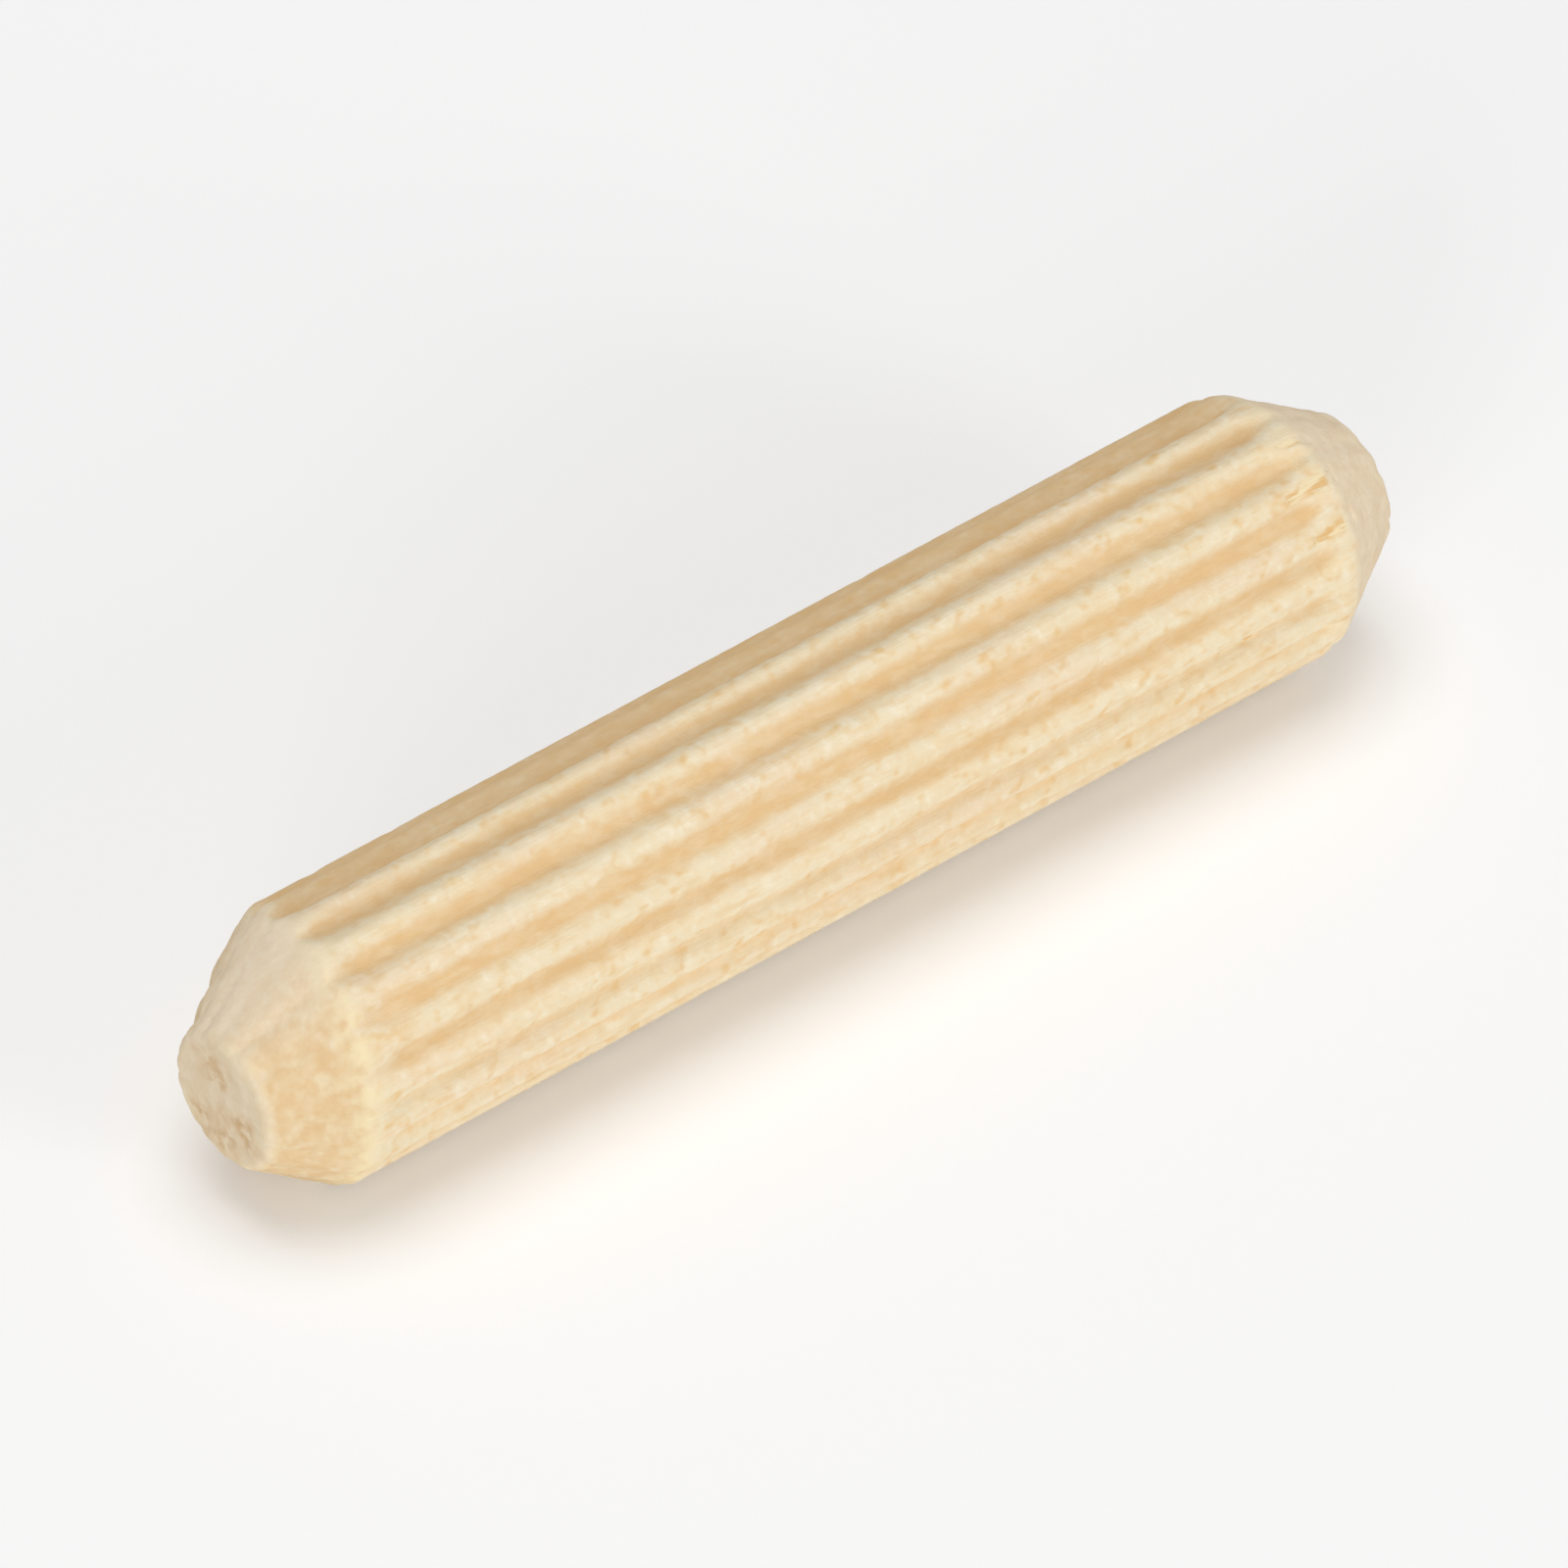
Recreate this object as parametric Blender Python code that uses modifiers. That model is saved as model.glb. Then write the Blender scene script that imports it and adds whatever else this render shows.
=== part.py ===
"""A fluted wooden dowel pin: one solid, lying on its side.

Lengths are in metres, and +Z is up. The pin's axis runs along X through the origin, which is the
middle of the pin. A flute points straight down, so the pin rests on the two ridges beside it.
"""
import math

import bmesh
import bpy

MM = 0.001

# Driving sizes of the pin
PIN_DIAMETER = 8.0 * MM  # over the crests of two opposite ridges
PIN_LENGTH = 40.0 * MM  # from end face to end face
FLUTE_COUNT = 18
FLUTE_DEPTH = 0.34 * MM  # from the crests down to the flutes' roots
FLUTE_WIDTH = 0.64 * MM  # across a flute, half way down
CHAMFER_LENGTH = 3.0 * MM  # along the axis, from the end face to the crests
CHAMFER_DEPTH = 1.9 * MM  # inwards, from the crests to the end face's rim
END_EDGE_RADIUS = 0.35 * MM  # worn corner between the end face and the chamfer

# Fineness of the curved surfaces
POINTS_PER_FLUTE = 12
TURNING_STEPS_PER_FLUTE = 6
EDGE_STEPS = 3

# Spare material on the blanks, which the cut takes away
SPARE_LENGTH = 1.0 * MM
SPARE_RADIUS = 0.5 * MM
WELD_DISTANCE = 0.001 * MM

# The blanks are made upright, along Z, and this turn lays them along X
LAID_DOWN = (0.0, math.radians(90), 0.0)

SHARP_EDGE_ANGLE = math.radians(35)
BEECH_COLOUR = (0.80, 0.63, 0.41, 1.0)
BEECH_ROUGHNESS = 0.75


def clear_scene():
    """Start from an empty file, whatever was open."""
    for old_object in list(bpy.data.objects):
        bpy.data.objects.remove(old_object, do_unlink=True)


def new_collection(name):
    """Make a collection in the scene."""
    collection = bpy.data.collections.new(name)
    bpy.context.scene.collection.children.link(collection)
    return collection


def crest_fall(turn_from_crest):
    """How far the surface lies below the crest circle, at an angle from a crest.

    A cosine wave falls from each crest to the next root. The angle is bent by a power, so that the
    wave is half way down just where a flute of FLUTE_WIDTH begins.
    """
    half_pitch = math.pi / FLUTE_COUNT
    middle_radius = (PIN_DIAMETER - FLUTE_DEPTH) / 2
    half_flute = FLUTE_WIDTH / 2 / middle_radius
    ridge_share = (half_pitch - half_flute) / half_pitch
    power = math.log(0.5) / math.log(ridge_share)
    wave = (1 - math.cos(math.pi * (turn_from_crest / half_pitch) ** power)) / 2
    return FLUTE_DEPTH * wave


def fluted_outline():
    """Points round the fluted section, with a flute's root at +X."""
    point_count = FLUTE_COUNT * POINTS_PER_FLUTE
    half_pitch = math.pi / FLUTE_COUNT
    points = []
    for index in range(point_count):
        angle = 2 * math.pi * index / point_count
        turn_from_root = 2 * half_pitch * (index % POINTS_PER_FLUTE) / POINTS_PER_FLUTE
        radius = PIN_DIAMETER / 2 - crest_fall(abs(turn_from_root - half_pitch))
        points.append((radius * math.cos(angle), radius * math.sin(angle)))
    return points


def make_fluted_bar(name, collection):
    """A fluted rod, a little longer than the pin, as it leaves the fluting rollers."""
    curve = bpy.data.curves.new(name + "_outline", "CURVE")
    curve.dimensions = "2D"
    curve.fill_mode = "BOTH"
    curve.extrude = PIN_LENGTH / 2 + SPARE_LENGTH
    outline = fluted_outline()
    spline = curve.splines.new("POLY")
    spline.points.add(len(outline) - 1)
    for point, (x, y) in zip(spline.points, outline):
        point.co = (x, y, 0.0, 1.0)
    spline.use_cyclic_u = True

    drawn = bpy.data.objects.new(name + "_outline", curve)
    drawn.rotation_euler = LAID_DOWN
    collection.objects.link(drawn)
    bpy.context.view_layer.update()

    evaluated = drawn.evaluated_get(bpy.context.evaluated_depsgraph_get())
    mesh = bpy.data.meshes.new_from_object(evaluated)
    weld(mesh)
    bar = bpy.data.objects.new(name, mesh)
    bar.matrix_world = drawn.matrix_world.copy()
    collection.objects.link(bar)
    bpy.data.objects.remove(drawn, do_unlink=True)
    return bar


def weld(mesh):
    """Join a mesh's loose caps to its sides, and turn every face outwards."""
    work = bmesh.new()
    work.from_mesh(mesh)
    bmesh.ops.remove_doubles(work, verts=work.verts, dist=WELD_DISTANCE)
    bmesh.ops.recalc_face_normals(work, faces=work.faces)
    work.to_mesh(mesh)
    work.free()


def end_profile():
    """Half of the turned profile, from the middle of the end face out past the ridges."""
    crest_radius = PIN_DIAMETER / 2
    end_height = PIN_LENGTH / 2
    rim_radius = crest_radius - CHAMFER_DEPTH
    corner_turn = math.atan2(CHAMFER_LENGTH, CHAMFER_DEPTH)

    # The worn corner is an arc that touches the end face and the chamfer
    reach = math.tan(corner_turn / 2)
    edge_radius = min(END_EDGE_RADIUS, rim_radius / 2 / reach)
    arc_x = rim_radius - edge_radius * reach
    arc_z = end_height - edge_radius
    points = [(0.0, end_height)]
    for step in range(EDGE_STEPS + 1):
        angle = corner_turn * step / EDGE_STEPS
        points.append((arc_x + edge_radius * math.sin(angle), arc_z + edge_radius * math.cos(angle)))

    outside = crest_radius + SPARE_RADIUS
    fall = CHAMFER_LENGTH * (outside - rim_radius) / CHAMFER_DEPTH
    points.append((outside, end_height - fall))
    return points


def make_end_former(name, collection):
    """A turned form with both chamfers: what the fluted bar keeps inside it is the pin."""
    upper = end_profile()
    lower = [(x, -z) for x, z in reversed(upper)]
    profile = bmesh.new()
    corners = [profile.verts.new((x, 0.0, z)) for x, z in upper + lower]
    for start, end in zip(corners, corners[1:]):
        profile.edges.new((start, end))
    mesh = bpy.data.meshes.new(name)
    profile.to_mesh(mesh)
    profile.free()

    former = bpy.data.objects.new(name, mesh)
    former.rotation_euler = LAID_DOWN
    collection.objects.link(former)
    turn = former.modifiers.new("turned_profile", "SCREW")
    turn.axis = "Z"
    turn.angle = 2 * math.pi
    turn.steps = FLUTE_COUNT * TURNING_STEPS_PER_FLUTE
    turn.render_steps = turn.steps
    turn.use_merge_vertices = True
    turn.merge_threshold = WELD_DISTANCE
    former.hide_render = True
    former.display_type = "WIRE"
    return former


def cut_to_form(bar, former):
    """Keep what lies inside the former, and bake the cut into the bar's own mesh."""
    cut = bar.modifiers.new("end_chamfers", "BOOLEAN")
    cut.operation = "INTERSECT"
    cut.solver = "EXACT"
    cut.object = former
    bpy.context.view_layer.update()
    evaluated = bar.evaluated_get(bpy.context.evaluated_depsgraph_get())
    blank = bar.data
    bar.data = bpy.data.meshes.new_from_object(evaluated)
    bar.modifiers.remove(cut)
    bpy.data.meshes.remove(blank)


def beech_wood():
    """Pale, dry, unfinished hardwood."""
    material = bpy.data.materials.new("pale_wood")
    material.use_nodes = True
    surface = material.node_tree.nodes["Principled BSDF"]
    surface.inputs["Base Color"].default_value = BEECH_COLOUR
    surface.inputs["Roughness"].default_value = BEECH_ROUGHNESS
    surface.inputs["Metallic"].default_value = 0.0
    return material


def main():
    """Build the pin."""
    clear_scene()
    parts = new_collection("fluted_dowel_pin")
    cutters = new_collection("fluted_dowel_pin_cutters")
    pin = make_fluted_bar("dowel_pin", parts)
    former = make_end_former("end_former", cutters)
    cut_to_form(pin, former)
    pin.data.name = "dowel_pin"
    pin.data.materials.clear()
    pin.data.materials.append(beech_wood())
    pin.data.shade_smooth()
    pin.data.set_sharp_from_angle(angle=SHARP_EDGE_ANGLE)


main()
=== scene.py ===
# %% [markdown]
# # A fluted dowel pin in pale wood
#
# The real object is one short rod of dry hardwood. Rollers press straight flutes into it, so that
# glue can spread along the hole, and a cutter turns a chamfer on each end, so that it starts easily.
# This lesson models that rod the way it is made: a turned blank first, then the flutes, then the
# small accidents of a soft, fibrous material. The last part is about its finish and its light.

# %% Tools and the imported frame
import math
from collections import namedtuple

import bmesh
import bpy
from mathutils import Matrix, Vector, noise


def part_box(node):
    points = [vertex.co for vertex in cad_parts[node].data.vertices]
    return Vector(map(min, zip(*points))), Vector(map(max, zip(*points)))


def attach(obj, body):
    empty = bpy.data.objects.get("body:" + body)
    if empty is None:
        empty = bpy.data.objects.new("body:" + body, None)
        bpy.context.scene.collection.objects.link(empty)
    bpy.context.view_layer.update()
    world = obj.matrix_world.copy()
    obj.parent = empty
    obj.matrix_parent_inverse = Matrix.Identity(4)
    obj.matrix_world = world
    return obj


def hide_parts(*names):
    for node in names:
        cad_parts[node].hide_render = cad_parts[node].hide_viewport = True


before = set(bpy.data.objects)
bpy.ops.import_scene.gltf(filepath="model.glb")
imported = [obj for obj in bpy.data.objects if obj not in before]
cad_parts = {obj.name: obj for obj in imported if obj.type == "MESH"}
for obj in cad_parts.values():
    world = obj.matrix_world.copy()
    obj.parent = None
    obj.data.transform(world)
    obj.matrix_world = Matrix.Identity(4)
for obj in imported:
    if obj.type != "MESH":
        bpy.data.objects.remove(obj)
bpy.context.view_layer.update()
print("frame loaded:", sorted(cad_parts))

# %% [markdown]
# ## Sizes
#
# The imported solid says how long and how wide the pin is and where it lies, so those three numbers
# are read from it. The flutes and chamfers are sizes of their own, the same as in the part's source.

# %% Sizes read from the frame, and the pin's own sizes
MM = 0.001
low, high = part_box("dowel_pin")
PIN_LENGTH = high.x - low.x
CREST_RADIUS = (high.y - low.y) / 2
FLOOR_HEIGHT = low.z

FLUTE_COUNT = 18
FLUTE_DEPTH = 0.34 * MM
FLUTE_WIDTH = 0.64 * MM
CHAMFER_LENGTH = 3.0 * MM
CHAMFER_DEPTH = 1.9 * MM
END_EDGE_RADIUS = 0.35 * MM
RIM_RADIUS = CREST_RADIUS - CHAMFER_DEPTH
HALF_LENGTH = PIN_LENGTH / 2
HALF_BODY = HALF_LENGTH - CHAMFER_LENGTH
print(f"pin {PIN_LENGTH / MM:.1f} mm long, {2 * CREST_RADIUS / MM:.1f} mm over the ridges")

# %% [markdown]
# ## The camera
#
# The photograph looks as if it was taken with a long lens, from above and to one side. Its outline
# fits a camera in this direction to within about three degrees. The distance is worked out so that
# the pin fills a chosen share of the frame.

# %% Camera
VIEW_AZIMUTH = math.radians(-39.5)
VIEW_ELEVATION = math.radians(41)
LENS_MM = 600
SENSOR_MM = 36
SHARE_OF_FRAME = 0.78
NEAREST_SEEN = 0.01
FARTHEST_SEEN = 10


def view_direction(azimuth, elevation):
    """Unit vector from the pin towards a camera. Azimuth 0 stands in front, at -Y."""
    flat = math.cos(elevation)
    return Vector((math.sin(azimuth) * flat, -math.cos(azimuth) * flat, math.sin(elevation)))


towards_camera = view_direction(VIEW_AZIMUTH, VIEW_ELEVATION)
camera_turn = (-towards_camera).to_track_quat("-Z", "Y")
to_the_right = camera_turn @ Vector((1, 0, 0))
solid_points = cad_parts["dowel_pin"].data.vertices
places_across = [to_the_right.dot(point.co) for point in solid_points]
width_seen = max(places_across) - min(places_across)
camera_distance = width_seen / SHARE_OF_FRAME * LENS_MM / SENSOR_MM

camera_data = bpy.data.cameras.new("camera")
camera_data.lens = LENS_MM
camera_data.sensor_width = SENSOR_MM
camera_data.clip_start = NEAREST_SEEN
camera_data.clip_end = FARTHEST_SEEN
camera = bpy.data.objects.new("camera", camera_data)
camera.rotation_mode = "QUATERNION"
camera.rotation_quaternion = camera_turn
camera.location = towards_camera * camera_distance
bpy.context.scene.collection.objects.link(camera)
bpy.context.scene.camera = camera
bpy.context.scene.view_settings.view_transform = "Standard"
print(f"camera {camera_distance:.2f} m away, pin {width_seen / MM:.1f} mm wide in view")

# %% [markdown]
# ## The blank
#
# The real blank is round wood with turned ends. A cylinder with bevelled ends would have that form,
# but too few points. So half of the outline, from the middle of one end face to the middle of the
# other, goes round the axis once, with as many rings as the later steps need to move. They lie about
# a tenth of a millimetre apart, and closer on the chamfers and towards them.

# %% Outline of the blank
POINTS_PER_FLUTE = 12
FACE_RINGS = 16
EDGE_RINGS = 5
CHAMFER_RINGS = 44
BODY_RINGS = 310
RIM_CROWDING = 0.15


def end_outline():
    """Distances (from the middle of the pin, from its axis) down one end, as far as the crests."""
    corner_turn = math.atan2(CHAMFER_LENGTH, CHAMFER_DEPTH)
    edge_reach = END_EDGE_RADIUS * math.tan(corner_turn / 2)
    arc_middle = RIM_RADIUS - edge_reach
    points = [(HALF_LENGTH, arc_middle * ring / FACE_RINGS) for ring in range(FACE_RINGS)]
    for step in range(EDGE_RINGS + 1):
        angle = corner_turn * step / EDGE_RINGS
        drop = END_EDGE_RADIUS * (1 - math.cos(angle))
        points.append((HALF_LENGTH - drop, arc_middle + END_EDGE_RADIUS * math.sin(angle)))
    start_along, start_radius = points[-1]
    for ring in range(1, CHAMFER_RINGS + 1):
        share = ring / CHAMFER_RINGS
        along = start_along + (HALF_BODY - start_along) * share
        points.append((along, start_radius + (CREST_RADIUS - start_radius) * share))
    return points


def body_place(ring):
    """Where a ring of the body lies: even steps, drawn together a little towards both rims."""
    even = 2 * ring / BODY_RINGS - 1
    return HALF_BODY * (even + RIM_CROWDING * math.sin(math.pi * even) / math.pi)


half_outline = end_outline()
left_end = [(-along, radius) for along, radius in half_outline]
body = [(body_place(ring), CREST_RADIUS) for ring in range(1, BODY_RINGS)]
outline = left_end + body + half_outline[::-1]
print("rings on the blank:", len(outline))

# %% [markdown]
# ### The spin
#
# A spin turns the outline into the blank as a lathe would. A Screw modifier does the same, but here
# the points are moved by the script straight afterwards, so the mesh is needed at once. The two
# points that lie on the axis come out once for each step of the spin, and are welded.

# %% Spin the blank
blank = bmesh.new()
chain = [blank.verts.new((along, 0.0, -radius)) for along, radius in outline]
for start, end in zip(chain, chain[1:]):
    blank.edges.new((start, end))
bmesh.ops.spin(
    blank,
    geom=blank.verts[:] + blank.edges[:],
    cent=(0, 0, 0),
    axis=(1, 0, 0),
    dvec=(0, 0, 0),
    angle=2 * math.pi,
    space=Matrix.Identity(4),
    steps=FLUTE_COUNT * POINTS_PER_FLUTE,
    use_merge=True,
)
WELD_DISTANCE = 0.0005 * MM
bmesh.ops.remove_doubles(blank, verts=blank.verts, dist=WELD_DISTANCE)
bmesh.ops.recalc_face_normals(blank, faces=blank.faces)
triangle_count = sum(len(face.verts) - 2 for face in blank.faces)
print("triangles:", triangle_count)

# %% [markdown]
# ## Helpers for the accidents
#
# Wood is uneven in four ways here: in soft steps from one state to another, in noise that runs along
# the fibres, in differences that stay the same for one whole ridge or flute, and in what happens on
# one side of the pin only. Each has its helper, and every later cell is built from them.

# %% Helpers for noise and soft steps
STEADY_STRENGTH = 1.6
STEADY_STEP = 3.71
STEADY_KIND_STEP = 7.13
STEADY_SLICE = 11.3
LOSS_KIND = 1
DEPTH_KIND = 2
WIDTH_KIND = 3
SCALLOP_KIND = 5


def smooth_step(start, end, value):
    """0 up to start, 1 from end on, and a soft S between them."""
    share = max(0.0, min(1.0, (value - start) / (end - start)))
    return share * share * (3 - 2 * share)


def grain(place, length, width, seed):
    """Noise from -1 to 1, drawn out along the pin as wood fibres are."""
    return noise.noise(Vector((place.x / length + seed, place.y / width, place.z / width)))


def grain_share(place, length, width, seed):
    """The same noise as a share, from 0 to 1."""
    return 0.5 + 0.5 * grain(place, length, width, seed)


def steady(number, kind):
    """A value from -1 to 1 that stays the same for one ridge or flute."""
    spot = Vector((number * STEADY_STEP, kind * STEADY_KIND_STEP, STEADY_SLICE))
    return max(-1.0, min(1.0, STEADY_STRENGTH * noise.noise(spot)))


def side_share(turn, side, reach):
    """1 on one side of the pin, falling to 0 at a reach away from it round the pin."""
    off = abs((turn - side + math.pi) % (2 * math.pi) - math.pi)
    return 1 - smooth_step(0.0, reach, off)


print("steady values of the first flutes:", [round(steady(number, DEPTH_KIND), 2) for number in range(4)])

# %% [markdown]
# ## Off-centre ends
#
# The chamfering cutter never runs quite true to the rod. In the photograph the near end is cut a
# little over a third of a millimetre low, and both of them a little towards the camera. Each whole
# end is slid sideways, and the last stretch of the body goes along with it; the flutes are pressed in
# later, so the body itself stays straight.

# %% Slide the ends sideways
SLIDE_RUN = 3.0 * MM
NEAR_DOWN_MM = 0.37
NEAR_TO_CAMERA_MM = 0.20
FAR_UP_MM = 0.04
FAR_TO_CAMERA_MM = 0.28
pin_axis = Vector((1, 0, 0))
down_in_view = pin_axis.cross(towards_camera).normalized()
up_to_camera = down_in_view.cross(pin_axis).normalized()
near_end_slide = (down_in_view * NEAR_DOWN_MM + up_to_camera * NEAR_TO_CAMERA_MM) * MM
far_end_slide = (up_to_camera * FAR_TO_CAMERA_MM - down_in_view * FAR_UP_MM) * MM


def slide_of(along):
    """How the cutter was off the pin's axis, at the end nearest to a place along the pin."""
    return near_end_slide if along < 0 else far_end_slide


for vert in blank.verts:
    vert.co += slide_of(vert.co.x) * smooth_step(HALF_BODY - SLIDE_RUN, HALF_BODY, abs(vert.co.x))
print(f"ends off centre, mm: {near_end_slide.length / MM:.2f} near, {far_end_slide.length / MM:.2f} far")

# %% [markdown]
# ## The flutes
#
# Across the pin each flute is a cosine wave, bent by a power so that it has the right width half way
# down. Its depth and width are estimates, because the photograph shows the shading of the flutes and
# not their section. A rolled flute is never quite regular: it is a little deeper or wider than the
# next one. In the photograph the flutes on the front side lie lower than an even spacing puts them,
# by up to a third of their pitch, so they drift there. The ones that the pin lies on stay in place.

# %% Shape of one flute
PITCH_ANGLE = 2 * math.pi / FLUTE_COUNT
DRIFT = math.radians(7)
DRIFT_SIDE = math.radians(-112)
DRIFT_REACH = math.radians(90)
CREST_LOSS = 0.015 * MM
DEPTH_SPREAD = 0.12
WIDTH_SPREAD = 0.10
flute_numbers = range(FLUTE_COUNT)
ridge_loss = [CREST_LOSS * (0.5 + 0.5 * steady(number, LOSS_KIND)) for number in flute_numbers]
flute_depth = [FLUTE_DEPTH * (1 + DEPTH_SPREAD * steady(number, DEPTH_KIND)) for number in flute_numbers]
flute_width = [FLUTE_WIDTH * (1 + WIDTH_SPREAD * steady(number, WIDTH_KIND)) for number in flute_numbers]


def flute_wave(off_root, width):
    """1 at a flute's root, 0 on the crest, and one half where the flute is as wide as width."""
    half_pitch = PITCH_ANGLE / 2
    half_flute = width / 2 / (CREST_RADIUS - FLUTE_DEPTH / 2)
    power = math.log(0.5) / math.log((half_pitch - half_flute) / half_pitch)
    from_crest = max(0.0, 1 - off_root / half_pitch)
    return (1 - math.cos(math.pi * from_crest ** power)) / 2


def count_pitches(turn):
    """How many pitches a turn is from the lowest flute, where whole numbers are flutes' roots."""
    return (turn - DRIFT * side_share(turn, DRIFT_SIDE, DRIFT_REACH)) / PITCH_ANGLE


print("flute depths, mm:", [round(depth / MM, 2) for depth in flute_depth[:6]])

# %% [markdown]
# ### The rolled surface
#
# Along the pin a flute wanders in slow waves, and its walls shake in quick ones where the rollers
# chattered. Both only turn the place that is looked up in the wave, so the flute keeps its depth.
# Towards the rims it runs out into a blunt point, because the cutter bruises the last millimetre of
# the ridges and spreads them.

# %% Surface of the rolled body
WANDER = 0.035 * MM
WANDER_LENGTH = 9 * MM
WANDER_WIDTH = 3 * MM
CHATTER = 0.055 * MM
CHATTER_LENGTH = 0.36 * MM
CHATTER_WIDTH = 0.6 * MM
NEAR_RUNOUT = 1.1 * MM
FAR_RUNOUT = 0.8 * MM
RUNOUT_PAST_RIM = 0.2
WIDTH_AT_RIM = 0.55
DEPTH_AT_RIM = 0.50
TONE_AT_RIM = 0.4


def rolled_surface(place, turn):
    """(distance from the axis, share of the way into a flute) of the rolled wood at a turn from straight
    down.
    """
    wander = WANDER * grain(place, WANDER_LENGTH, WANDER_WIDTH, seed=0)
    chatter = CHATTER * grain(place, CHATTER_LENGTH, CHATTER_WIDTH, seed=5.5)
    pitches = count_pitches(turn + (wander + chatter) / CREST_RADIUS)
    flute = round(pitches)
    off_root = abs(pitches - flute) * PITCH_ANGLE
    runout = NEAR_RUNOUT if place.x < 0 else FAR_RUNOUT
    full = smooth_step(-RUNOUT_PAST_RIM, 1.0, (HALF_BODY - abs(place.x)) / runout)
    width = flute_width[flute % FLUTE_COUNT] * (WIDTH_AT_RIM + (1 - WIDTH_AT_RIM) * full)
    depth = flute_depth[flute % FLUTE_COUNT] * (DEPTH_AT_RIM + (1 - DEPTH_AT_RIM) * full)
    depth_share = flute_wave(off_root, width)
    loss = ridge_loss[math.floor(pitches) % FLUTE_COUNT] * (1 - depth_share)
    flute_share = depth_share * (TONE_AT_RIM + (1 - TONE_AT_RIM) * full)
    return CREST_RADIUS - loss - depth * depth_share, flute_share


lowest_root, lowest_flute_share = rolled_surface(Vector((0, 0, -CREST_RADIUS)), 0.0)
print(f"flute straight down, half way along: {(CREST_RADIUS - lowest_root) / MM:.2f} mm deep")

# %% [markdown]
# ## Fibres on the ridges
#
# Rolling presses the flutes smooth and leaves the ridges rough. The rollers chatter, so the ridges
# stand in small lumps that are wider across the pin than along it, with a few nicks where a bundle of
# fibres has broken out. All of it only ever takes wood away, so that the pin keeps its diameter.

# %% Relief of the rolled surface
LUMPS = 0.018 * MM
LUMP_LENGTH = 0.40 * MM
LUMP_WIDTH = 0.50 * MM
THREADS = 0.012 * MM
THREAD_LENGTH = 1.6 * MM
THREAD_WIDTH = 0.24 * MM
NICKS = 0.03 * MM
NICK_LENGTH = 0.8 * MM
NICK_WIDTH = 0.40 * MM
NICK_START = 0.35
NICK_FULL = 0.80
CALM_IN_ROOT = 0.8


def ridge_relief(place, flute_share):
    """How much wood is missing from the rolled surface at a place."""
    lumps = LUMPS * grain_share(place, LUMP_LENGTH, LUMP_WIDTH, seed=21.7)
    threads = THREADS * grain_share(place, THREAD_LENGTH, THREAD_WIDTH, seed=3.3)
    broken = grain(place, NICK_LENGTH, NICK_WIDTH, seed=40.1)
    nicks = NICKS * smooth_step(NICK_START, NICK_FULL, broken)
    return (lumps + threads + nicks) * (1 - CALM_IN_ROOT * flute_share)


print(f"a ridge loses at most {(LUMPS + THREADS + NICKS) / MM:.3f} mm")

# %% [markdown]
# ## The cut ends
#
# The flutes still show through the chamfers as faint scallops, deepest at the end face, whose edge is
# a little angular for it. On the far side the cutter hopped, and left short bulges round the chamfer
# with notches between them, which the photograph shows in the outline. Everywhere the cut across the
# fibres leaves soft lumps, and the near end is cut a little deeper than the far one.

# %% Relief of the chamfers
SCALLOPS = 0.03 * MM
SCALLOPS_AT_FACE = 2.2
SCALLOP_SPREAD = 0.6
SCALLOP_WIDTH = 0.50 * MM
NEAR_HOPS = 0.17 * MM
FAR_HOPS = 0.06 * MM
FIRST_HOP = 0.36
HOP_LENGTH = 0.39
HOP_WANDER = 0.05
HOP_WANDER_SIZE = 1.5 * MM
NEAR_HOPS_SIDE = math.radians(112)
FAR_HOPS_SIDE = math.radians(152)
HOPS_REACH = math.radians(50)
NEAR_DEEPER_CUT = 0.12 * MM
CUT_LUMPS = 0.06 * MM
CUT_LUMP_SIZE = 0.60 * MM
CUT_CRUMBS = 0.02 * MM
CUT_CRUMB_SIZE = 0.26 * MM


def chamfer_cone(place):
    """Distance from the pin's axis to the off-centre cone of the nearest chamfer."""
    radius = math.hypot(place.y, place.z)
    if abs(place.x) >= HALF_BODY:
        return radius
    outwards = Vector((0, place.y, place.z)) / radius
    above_rim = (HALF_BODY - abs(place.x)) * CHAMFER_DEPTH / CHAMFER_LENGTH
    return CREST_RADIUS + above_rim + slide_of(place.x).dot(outwards)


def hop_relief(place, turn, along_end):
    """Notches round the chamfer where the cutter hopped, with bulges between them."""
    depth, side = (NEAR_HOPS, NEAR_HOPS_SIDE) if place.x < 0 else (FAR_HOPS, FAR_HOPS_SIDE)
    wander = HOP_WANDER * grain(place, HOP_WANDER_SIZE, HOP_WANDER_SIZE, seed=77.7)
    bulge = abs(math.sin(math.pi * (along_end + wander - FIRST_HOP) / HOP_LENGTH))
    return depth * (1 - bulge) * side_share(turn, side, HOPS_REACH)


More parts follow.
